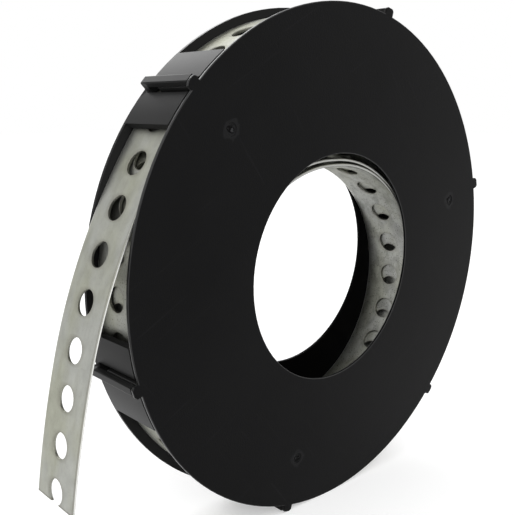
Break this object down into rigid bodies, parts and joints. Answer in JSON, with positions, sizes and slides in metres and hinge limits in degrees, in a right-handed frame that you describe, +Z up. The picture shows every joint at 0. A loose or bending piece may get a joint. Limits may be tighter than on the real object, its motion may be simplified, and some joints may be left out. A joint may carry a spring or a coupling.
{
  "type": "perforated steel strap coil in cassette",
  "caption": "Coil of perforated steel strap held in a round black plastic cassette, with its free end pulled out through the rim.",
  "frame": {"origin": "on the floor under the middle of the bounding box, with the reel standing on its rim", "axes": "+Z up, +Y along the reel axis towards the back flange, -X towards the free end of the strap"},
  "size_m": [0.1614, 0.0196, 0.145],
  "materials": {
    "black_plastic_base": "moulded, faintly glossy",
    "black_plastic_cover": "moulded, faintly glossy",
    "galvanised_steel": "zinc coated, dull, rolled"
  },
  "bodies": {
    "root": {"reel_base": "black_plastic_base", "front_cover": "black_plastic_cover", "strap": "galvanised_steel"}
  },
  "joints": []
}
